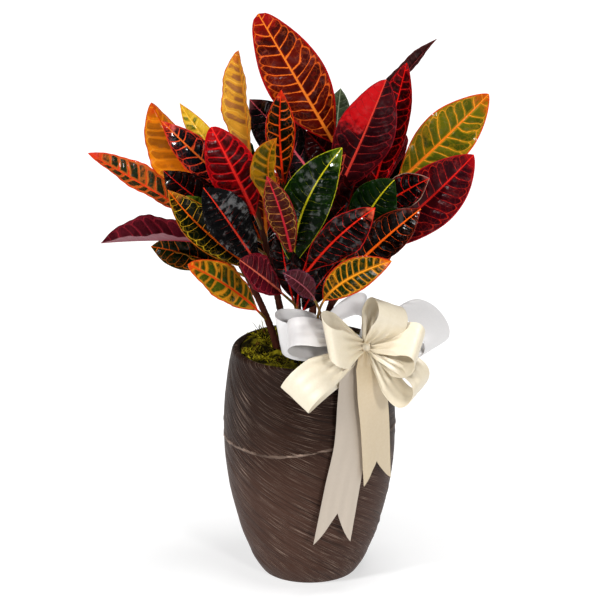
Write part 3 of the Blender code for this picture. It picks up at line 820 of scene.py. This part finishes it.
def relief(angle, height):
    """How far the combed skin stands proud of the plain barrel, in millimetres."""
    across, run, above = comb(angle, height)
    broad = noise.noise(Vector((across / 8, run / 90, 3)))
    fine = noise.noise(Vector((across / 4, run / 60, 9)))
    crest = max(0, noise.noise(Vector((across / 6, run / 80, 21))) - 0.25)
    seam = smooth(run, 0, 14) * smooth(BELLY * pi - run, 0, 14)
    body = (0.5 * broad + 0.35 * fine + 1.2 * crest) * seam
    line = 1.25 * exp(-((above / 2.2) ** 2)) - 0.7 * exp(-(((above + 3.2) / 1.8) ** 2))
    return (body + line * (0.55 + 0.45 * seam)) * smooth(height, 4, 22) * (1 - smooth(height, 256, 266))


crest = relief(0, QUILL_HEIGHT + QUILL_RISE)
print("the quill stands", round(crest, 2), "mm proud at the front")

# %% [markdown]
# ## The planter's finish
#
# The composite is one brown, but its crests are rubbed paler and its valleys hold the dark.
# Along the quill the paler crest is partly a painted highlight, and the body is painted darker
# towards the top as shade under the foliage and the bow.
# The `proud` attribute tells the material where the crests of the mesh are, and noise that is
# stretched along the strokes adds those too fine for a mesh. The inside is plain and dark.

# %% Planter finish
clay = Finish("combed composite", Roughness=0.5, Specular_IOR_Level=0.08)
clay_lines = clay.stretched(clay.node("UVMap", {"uv_map": "comb"}), (100, 1.6, 1))
clay_stroke = clay.noise(clay_lines, 0.5, 2, 0.5)
clay_scratch = clay.noise(clay_lines, 1.5, 3, 0.6)
clay_proud = clay.attribute("proud")
clay_cloud = clay.noise(clay.place(), 18, 3)
clay_z = clay.split(clay.place())[2]
# Painted shade: the body is darker towards the top, for the shade of the foliage and the bow, and lighter
# towards the foot.
clay_foot_below_painted_shade = clay.step(clay_z + clay_cloud * 0.05, 0.25, 0.12)
clay_base_with_painted_shade = clay.mix(clay_foot_below_painted_shade, "26150d", "442e25")
# Crests are rubbed paler; along the quill the paler line is also a painted highlight.
clay_rubbed_crests_and_highlight = clay.step(clay_scratch, 0.54, 0.68).most(clay.step(clay_proud + clay_stroke, 1.05, 1.55))
clay_rubbed_crests_and_highlight = clay_rubbed_crests_and_highlight * (clay.step(clay_cloud, 0.38, 0.6) * 0.7 + 0.3)
clay_colour = clay.mix(clay_rubbed_crests_and_highlight * 0.8, clay_base_with_painted_shade, "b09888")
clay_dark = clay.step(clay_stroke, 0.46, 0.3).most(clay.step(clay_scratch, 0.42, 0.28))
clay_colour = clay.mix(clay_dark * 0.82, clay_colour, "140c09")
clay_inside = clay.attribute("inside")
clay.colour(clay.mix(clay_inside, clay_colour, "15100e"))
clay.roughness(clay_rubbed_crests_and_highlight * 0.1 + 0.45)
clay_height = clay_stroke * 0.6 + clay_scratch * 0.4 + clay_rubbed_crests_and_highlight * 0.3
clay.bump(clay_height * (1 - clay_inside), 0.9, 1.2)
print("planter finish of", len(clay.tree.nodes), "nodes")

# %% [markdown]
# ## The planter's mesh
#
# A spin of the profile would do for a plain pot. Here each corner also has to stand proud by
# its own relief, so the wall is one grid rolled round the axis: up the outside, over the round
# lip, down the inside and across the floor.

# %% Planter mesh
POT_SIDES = 384
OUTER_ROWS = 178


def planter():
    """The combed barrel with its round lip, inner wall and floor."""
    bm = bmesh.new()
    proud_at = bm.verts.layers.float.new("proud")
    inside_at = bm.verts.layers.float.new("inside")
    comb_map = bm.loops.layers.uv.new("comb")

    outside = [through(POT_OUTSIDE, row / OUTER_ROWS) for row in range(OUTER_ROWS + 1)]
    inside = [Vector((height, radius - POT_WALL)) for height, radius in POT_OUTSIDE[16:3:-2]]
    profile = [(0.01, 0.0)] + [(spot.y, spot.x) for spot in outside + inside]
    profile += [(inside[-1].y - 8, POT_FLOOR), (0.01, POT_FLOOR)]
    rows = len(profile) - 1

    def skin(share, round_share):
        radius, height = profile[round(share * rows)]
        angle = tau * round_share - pi / 2
        if 0 < round(share * rows) <= OUTER_ROWS + 1:
            radius += relief(angle, height)
        return Vector((radius * sin(angle), -radius * cos(angle), height))

    rolled(bm, rows, POT_SIDES, skin, ends=False)
    for vert in bm.verts:
        radius, height = hypot(vert.co.x, vert.co.y), vert.co.z
        above = min(range(len(outside)), key=lambda k: abs(outside[k].x - height))
        vert[proud_at] = max(-3, radius - outside[above].y)
        vert[inside_at] = 1 if vert[proud_at] < -2.9 and height > 1 else 0
    for face in bm.faces:
        middle = face.calc_center_median()
        turn = atan2(middle.x, -middle.y)
        for corner in face.loops:
            spot = corner.vert.co
            angle = atan2(spot.x, -spot.y)
            angle += tau * round((turn - angle) / tau)
            angle = turn + 0.998 * (angle - turn)
            across, run, _ = comb(angle, spot.z)
            corner[comb_map].uv = (across / 100, run / 100)
    return finished(bm, "planter_body", [clay], "planter", 60)


planter_piece = planter()
print("planter with", len(planter_piece.data.polygons), "faces")

# %% [markdown]
# ## Soil
#
# The root ball keeps its plain solid, because the moss hides its shape.

# %% Soil
soil = Finish("potting soil", Roughness=0.95, Specular_IOR_Level=0.1)
soil.colour(soil.mix(soil.noise(soil.place(), 400, 4), "1c1410", "4a382c"))
root_ball = bpy.data.objects["root_ball"]
root_ball.material_slots[0].material = soil.material
print("soil on", root_ball.name)

# %% [markdown]
# ## The moss mat
#
# Moss over the soil is a loose mat of green and yellow, with a little brown. Most
# of it is hidden by what stands up from it, so a lumpy closed sheet is enough for the mass.
# Each corner carries a `shade`, which the finish turns into a colour: low values give a near
# black that is painted shadow, higher ones green and yellow, and the highest brown. The mat is
# kept low, as painted shade under the fronds.

# %% Moss mat
SOIL_TOP = 261.3
MOSS_TOP = 271.5
MOSS_RADIUS = 79.6
MOUTH_RADIUS = 80
LIP_CLEAR = 274
MOUND_X, MOUND_Y, MOUND_HEIGHT = -42, 34, 8

moss = Finish("moss", Roughness=0.85, Specular_IOR_Level=0.05)
moss_tone_and_shade_level = moss.attribute("shade")
moss_grain = moss.noise(moss.place(), 300, 3)
# Painted shadow: low values of the attribute turn the moss near black.
moss_green_over_painted_shadow = moss.mix(moss.step(moss_tone_and_shade_level + moss_grain * 0.3, 0.3, 0.75), "110e02", "90861a")
moss.colour(moss.mix(moss.step(moss_tone_and_shade_level, 0.8, 0.88), moss_green_over_painted_shadow, "5c3a18"))
moss.bump(moss_grain, 0.4, 0.6)


def moss_height(x, y):
    """The mat's top: lumpy, with a mound at the back left."""
    mound = MOUND_HEIGHT * exp(-((x - MOUND_X) ** 2 + (y - MOUND_Y) ** 2) / 2200)
    lumps = 4 * noise.noise(Vector((x / 13, y / 13, 1))) + 2 * noise.noise(Vector((x / 5, y / 5, 5)))
    inside = min(1, (MOUTH_RADIUS - hypot(x, y)) / 10)
    return MOSS_TOP + (mound + lumps) * inside - 1.2


def moss_mat():
    """The lumpy mat under the fronds."""
    bm = bmesh.new()
    tone_and_shade_at = bm.verts.layers.float.new("shade")

    def skin(share, round_share):
        radius = MOSS_RADIUS * min(1, share * 1.04)
        height = SOIL_TOP if share > 0.985 else 0
        angle = tau * round_share
        x, y = radius * sin(angle), -radius * cos(angle)
        return Vector((x, y, height or moss_height(x, y)))

    rolled(bm, 90, 150, skin)
    for vert in bm.verts:
        # Painted shade: the mat stays near the dark end under the fronds, with tone that differs at random.
        vert[tone_and_shade_at] = 0.25 + 0.25 * noise.noise(vert.co / 9)
    return finished(bm, "moss_mat", [moss], "moss")


mat_piece = moss_mat()
print("mat with", len(mat_piece.data.polygons), "faces")

# %% [markdown]
# ## The moss fronds
#
# Tufts of small curled fronds give the fluff, and a few long wisps stand up at the back left.
# Each frond is painted darker at its foot, as shade among the tufts.
# Hair curves could do it too, but they would have to be made a mesh in the end, so the fronds
# are thin blades of only eight faces each.

# %% Moss fronds
MOSS_TUFTS = 190
TUFT_FRONDS = 20
LONG_WISPS = 16


def moss_fronds():
    """Tufts of small curled fronds on the mat, and a few long wisps at the back left."""
    chance = random.Random(7)
    bm = bmesh.new()
    tone_and_shade_at = bm.verts.layers.float.new("shade")

    def any_way(low, high):
        return Vector((chance.gauss(0, 1), chance.gauss(0, 1), chance.uniform(low, high))).normalized()

    def frond(foot, heading, long, wide, shade, rows):
        side = heading.cross(any_way(-1, 1)).normalized()
        curl = heading.cross(side) * chance.uniform(-0.9, 0.9) - Vector((0, 0, 0.35))

        def blade(share, across):
            spine = foot + heading * long * share + curl * long * share * share * 0.6
            return spine + side * wide * (across - 0.5) * 2 * sin(pi * (0.15 + 0.8 * share))

        for vert, share, _ in grid(bm, rows, 2, blade):
            if hypot(vert.co.x, vert.co.y) > MOUTH_RADIUS and vert.co.z < LIP_CLEAR:
                vert.co.x, vert.co.y = vert.co.x * 0.97, vert.co.y * 0.97
            # Painted shade: each frond is darker at its foot and lighter towards its tip.
            vert[tone_and_shade_at] = shade - 0.25 + 0.45 * share

    for _ in range(MOSS_TUFTS):
        radius = 76 * sqrt(chance.random())
        bearing = chance.uniform(0, tau)
        x, y = radius * cos(bearing), radius * sin(bearing)
        middle = Vector((x, y, moss_height(x, y) - chance.uniform(0.5, 2.5)))
        tone = min(0.75, max(0.1, chance.gauss(0.42, 0.2)))
        if chance.random() < 0.12:
            tone = 1.0
        for _ in range(TUFT_FRONDS):
            foot = middle + Vector((chance.gauss(0, 2), chance.gauss(0, 2), 0))
            heading = any_way(0.2, 1.8)
            long, wide = chance.uniform(4, 10), chance.uniform(0.4, 0.9)
            frond(foot, heading, long, wide, tone + chance.gauss(0, 0.08), 4)
    for _ in range(LONG_WISPS):
        foot = Vector((chance.uniform(-64, -42), chance.uniform(18, 46), 275))
        heading = Vector((chance.uniform(-0.7, 0.4), chance.uniform(-0.4, 0.4), 1)).normalized()
        long, wide = chance.uniform(12, 24), chance.uniform(0.4, 0.8)
        frond(foot, heading, long, wide, chance.uniform(0.25, 1.1), 10)
    return finished(bm, "moss_fronds", [moss], "moss")


frond_piece = moss_fronds()
print("fronds with", len(frond_piece.data.polygons), "faces")

# %% [markdown]
# ## The bow
#
# Two satin ribbons, white behind cream, are gathered on one wire. A loop runs from the middle
# out and back. Where the ribbon is gathered its 44 mm are pleated into a few millimetres, so
# the pleats are deep at the middle and die out along the loop. A cloth simulation would have to
# be told every bend that a florist gives a wired loop, so the bends are written down as curves.
#
# A loop's line says where its far end is, how far its two sides swell apart, how it leans, which
# way its width lies, and its flat length. A tail's stations are bearing, radius and height.

# %% Ribbon shapes
RIBBON_WIDTH = 44.0
RIBBON_THICK = 0.35
GATHER = 0.2
WHITE_MIDDLE = Vector((59, -60, 299))
CREAM_MIDDLE = Vector((64, -72, 297))

Loop = namedtuple("Loop", "far belly lean across flat")
WHITE_LOOPS = [
    Loop((-36, -62, 310), (0, 14, 4), (0, 0, 0), (-8, 0, 44), 204),
    Loop((-25, -94, 316), (0, -11, 11), (0, 0, 0), (0, 38, 21), 198),
    Loop((34, -48, 330), (20, 6, 13), (0, 0, 0), (6, 40, 14), 140),
    Loop((144, -34, 302), (-10, 8, 23), (-6, 0, 6), (30, 32, 8), 218),
    Loop((107, -46, 262), (7, 2, 7), (3, 0, 6), (-8, 30, 10), 136),
]
CREAM_LOOPS = [
    Loop((18, -118, 323), (4, -13, -6), (0, 0, 0), (-8, 6, 44), 158),
    Loop((92, -86, 349), (5, -15, -6), (0, 0, 0), (33, 20, -18), 140),
    Loop((124, -104, 302), (2, -4, 14), (0, 0, 0), (12, 28, 30), 154),
    Loop((120, -106, 250), (11, -2, 11), (4, 0, 2), (19, 30, 12), 180),
    Loop((-17, -128, 252), (-1, -8, 5), (0, 0, 6), (31, 0, -31), 219),
]
LONG_TAIL = [
    (37, 99, 294), (31, 105, 278), (29, 105, 240), (27, 105, 190), (21.5, 104, 140), (14.5, 102, 68),
]
SHORT_TAIL = [(41, 101, 293), (39, 111, 276), (39.5, 113, 240), (42, 112, 200), (45, 110, 135)]
print(len(WHITE_LOOPS), "white and", len(CREAM_LOOPS), "cream loops to make")

# %% [markdown]
# ## Satin
#
# Satin is smooth and shines broadly, and its threads give it a faint shade. A sheen layer is
# meant for velvet, so plain gloss with a little noise does better here. The short tail's satin
# is a darker cream, painted shade for the bow's shade that it hangs in. The long tail shows the
# ribbon's dull back, and its darker satin is partly that back and partly painted shade.


# %% Satin
def satin(name, light, shadow):
    """Satin: smooth, with a soft highlight and a faint shade along its threads."""
    made = Finish(name, Roughness=0.4, Specular_IOR_Level=1.0)
    thread = made.noise(made.place(), 350, 2)
    made.colour(made.mix(thread, light, shadow))
    made.bump(thread, 0.06, 0.2)
    return made


white_satin = satin("white satin", "dfdddc", "d9d7d7")
cream_satin = satin("cream satin", "e3d9c4", "dacdb2")
# Painted shade: the short tail's satin is darker than the loops', for the bow's shade.
cream_tail_painted_shade = satin("cream satin of the tail in painted shade", "d0bfa2", "c8b38f")
# Partly painted shade: the long tail's satin is darker for the ribbon's dull back and for shade.
cream_back_and_painted_shade = satin("back of the cream satin with painted shade", "b5a899", "afa190")
satins = (white_satin, cream_satin, cream_tail_painted_shade, cream_back_and_painted_shade)
print("satins:", ", ".join(look.material.name for look in satins))

# %% [markdown]
# ## A strip of ribbon
#
# Each loop and tail is one sheet with a real thickness: a grid on the middle surface that the
# loop or tail gives, moved out by pleats and small creases, and closed by a copy of itself.

# %% Ribbon meshes
PLEATS = 3.5
LOOP_PLEATED = 0.7
RIBBON_COLUMNS = 40


def ribbon_piece(name, look, place, flat, width_at, rows, seed, pleated=LOOP_PLEATED):
    """A strip of ribbon; place(share, side) is its middle surface, with side from -1 to 1."""
    bm = bmesh.new()

    def outward(share):
        ahead = place(min(share + 0.01, 1), 0) - place(max(share - 0.01, 0), 0)
        return ahead.cross(place(share, 1) - place(share, -1)).normalized()

    def skin(share, across):
        side = 2 * across - 1
        width = width_at(share)
        spare = sqrt(max(0, RIBBON_WIDTH**2 - width**2)) / (4 * PLEATS)
        phase = seed + 1.2 * share
        deep = 0.55 * spare + pleated * (1 - sin(pi * share)) * width / RIBBON_WIDTH
        fold = deep * cos(pi * PLEATS * side + phase)
        crease = 0.45 * noise.noise(Vector((share * 5, side * 1.6, seed * 3.1)))
        return place(share, side) + outward(share) * (fold + crease * min(1, width / RIBBON_WIDTH))

    depth = bm.verts.layers.float.new("along")
    for vert, share, _ in grid(bm, rows, RIBBON_COLUMNS, skin):
        vert[depth] = share
    for vert in bmesh.ops.extrude_face_region(bm, geom=bm.faces[:])["geom"]:
        if isinstance(vert, bmesh.types.BMVert):
            vert.co -= outward(vert[depth]) * RIBBON_THICK
    colour = "white" if look is white_satin else "cream"
    piece = finished(bm, name, [look], f"bow_{colour}", 70)
    flat * MM
    return piece


# %% [markdown]
# ## Loops
#
# A loop leaves the middle, swells and comes back. Its width is gathered at both ends.

# %% Loops
LOOP_ROWS = 90


def loop_piece(name, look, loop, middle, seed):
    """A ribbon loop that leaves the bow's middle, swells and comes back to it."""
    reach = Vector(loop.far) - middle
    belly, lean, across = Vector(loop.belly), Vector(loop.lean), Vector(loop.across)

    def width(share):
        turn = pi * (0.02 + 0.96 * share)
        return RIBBON_WIDTH * (GATHER + (1 - GATHER) * min(1, 1.6 * sin(turn) ** 1.1))

    def place(share, side):
        turn = pi * (0.02 + 0.96 * share)
        out = sin(turn) ** 1.2
        apart = 1.3 * sin(2 * turn) * sin(turn) ** 0.7
        spot = middle + reach * out + belly * apart + lean * sin(2 * turn) ** 2
        return spot + across * side * width(share) / RIBBON_WIDTH / 2

    return ribbon_piece(name, look, place, loop.flat, width, LOOP_ROWS, seed)


bow = []
for number, loop in enumerate(WHITE_LOOPS):
    bow.append(loop_piece(f"white_loop_{number}", white_satin, loop, WHITE_MIDDLE, len(bow)))
for number, loop in enumerate(CREAM_LOOPS):
    bow.append(loop_piece(f"cream_loop_{number}", cream_satin, loop, CREAM_MIDDLE, len(bow)))
print(len(bow), "loops")

# %% [markdown]
# ## Tails
#
# A tail runs over the lip and hangs down the planter's side, and its end is cut to a swallow
# tail. It is nearly flat, because nothing gathers it below the middle.

# %% Tails
TAIL_ROWS = 120
TAIL_PLEATED = 0.25
TAIL_NOTCH = 0.09


def tail_piece(name, look, stations, seed):
    """A ribbon tail that hangs down the planter's side and ends in a swallow tail."""
    places = [CREAM_MIDDLE]
    for bearing, radius, height in stations:
        angle = radians(bearing)
        places.append(Vector((radius * sin(angle), -radius * cos(angle), height)))
    length = sum((one - two).length for one, two in zip(places, places[1:]))

    def width(share):
        return RIBBON_WIDTH * (GATHER + (1 - GATHER) * min(1, share * 2.6))

    def place(share, side):
        spot = through(places, share * (1 - TAIL_NOTCH * (1 - abs(side)) * share**8))
        outward = Vector((spot.x, spot.y, 0)).normalized()
        across = Vector((-outward.y, outward.x, 0))
        return spot + across * side * width(share) / 2

    print(name, "is", round(length), "mm long")
    return ribbon_piece(
        name, look, place, length, width, TAIL_ROWS, seed, TAIL_PLEATED
    )


bow.append(tail_piece("long_tail", cream_back_and_painted_shade, LONG_TAIL, 11))
bow.append(tail_piece("short_tail", cream_tail_painted_shade, SHORT_TAIL, 12))

# %% [markdown]
# ## Knot and pick
#
# A turn of cream ribbon hides the wire at the bow's middle, and a plain wooden pick holds the
# bow behind the lip.

# %% Knot and pick meshes
KNOT_RADIUS = 4.4
PICK_RADIUS = 1.5


def knot():
    """A pinched turn of ribbon round the bow's middle."""

    def skin(share, round_share):
        turn, around = tau * share, tau * round_share
        out = KNOT_RADIUS + (1.7 + 0.4 * cos(5 * around + 2 * turn)) * cos(around)
        deep, high = -out * cos(turn) - 3, out * sin(turn) + 1
        return CREAM_MIDDLE + Vector((KNOT_RADIUS * sin(around), deep, high))

    bm = bmesh.new()
    rolled(bm, 48, 36, skin, ends=False)
    bmesh.ops.remove_doubles(bm, verts=bm.verts, dist=1e-3)
    return finished(bm, "knot", [cream_satin], "bow_cream")


def pick():
    """The round wooden pick behind the lip."""
    foot, top = Vector((50, -46, 200)), Vector((56.5, -55, 300))
    side = (top - foot).cross(Vector((0, 1, 0))).normalized()
    other = (top - foot).cross(side).normalized()

    def skin(share, round_share):
        turn = tau * round_share
        return foot.lerp(top, share) + PICK_RADIUS * (side * cos(turn) + other * sin(turn))

    bm = bmesh.new()
    rolled(bm, 12, 12, skin)
    return finished(bm, "wooden_pick", [wood], "bow_pick")


wood = Finish("pale wood", Roughness=0.7)
wood_grain = wood.noise(wood.stretched(wood.place(), (1, 1, 0.1)), 900, 3)
wood.colour(wood.mix(wood_grain, "b08a58", "cda878"))
bow += [knot(), pick()]
print("bow of", len(bow), "pieces with its pick")
